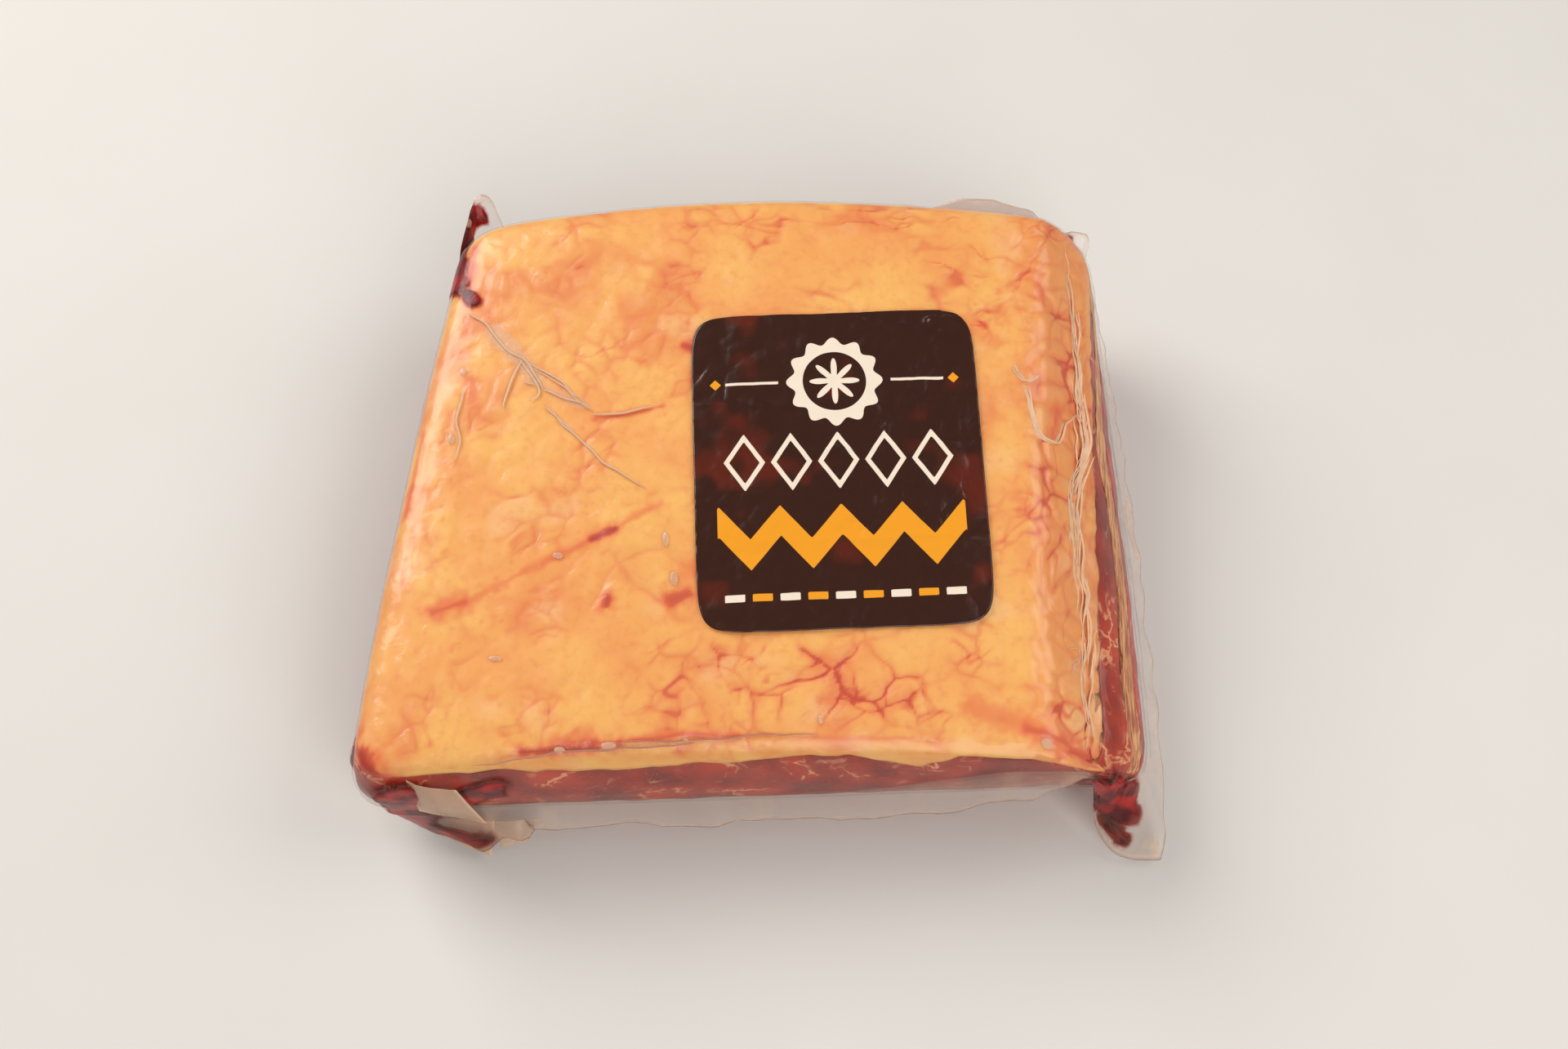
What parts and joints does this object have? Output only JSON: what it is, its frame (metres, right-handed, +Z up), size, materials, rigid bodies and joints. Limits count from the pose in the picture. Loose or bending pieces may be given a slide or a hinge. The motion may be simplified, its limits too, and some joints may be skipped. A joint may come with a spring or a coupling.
{
  "type": "vacuum packed block of raw strip loin",
  "caption": "Thick block of raw strip loin under a cap of fat, shrunk into a clear vacuum bag with welded edges and corner ears, and a plain printed label on top.",
  "frame": {"origin": "middle of the pack's box, on the table it lies on", "axes": "+X to the pack's right with the label upright, +Y to its back, +Z up"},
  "size_m": [0.2463, 0.2124, 0.0663],
  "materials": {
    "lean": "moist raw lean meat, dark red to purple under film",
    "fat": "soft cream yellow beef fat with thin red veins",
    "seam": "pale stringy seam fat and connective tissue",
    "side_muscle": "moist raw lean meat, bright red",
    "film": "clear glossy multilayer barrier film",
    "label": "glossy dark film label, cream and orange print"
  },
  "bodies": {
    "root": {"lean_loin": "lean", "fat_cap": "fat", "seam_fat": "seam", "side_muscle": "side_muscle", "vacuum_bag": "film", "label": "label"}
  },
  "joints": []
}
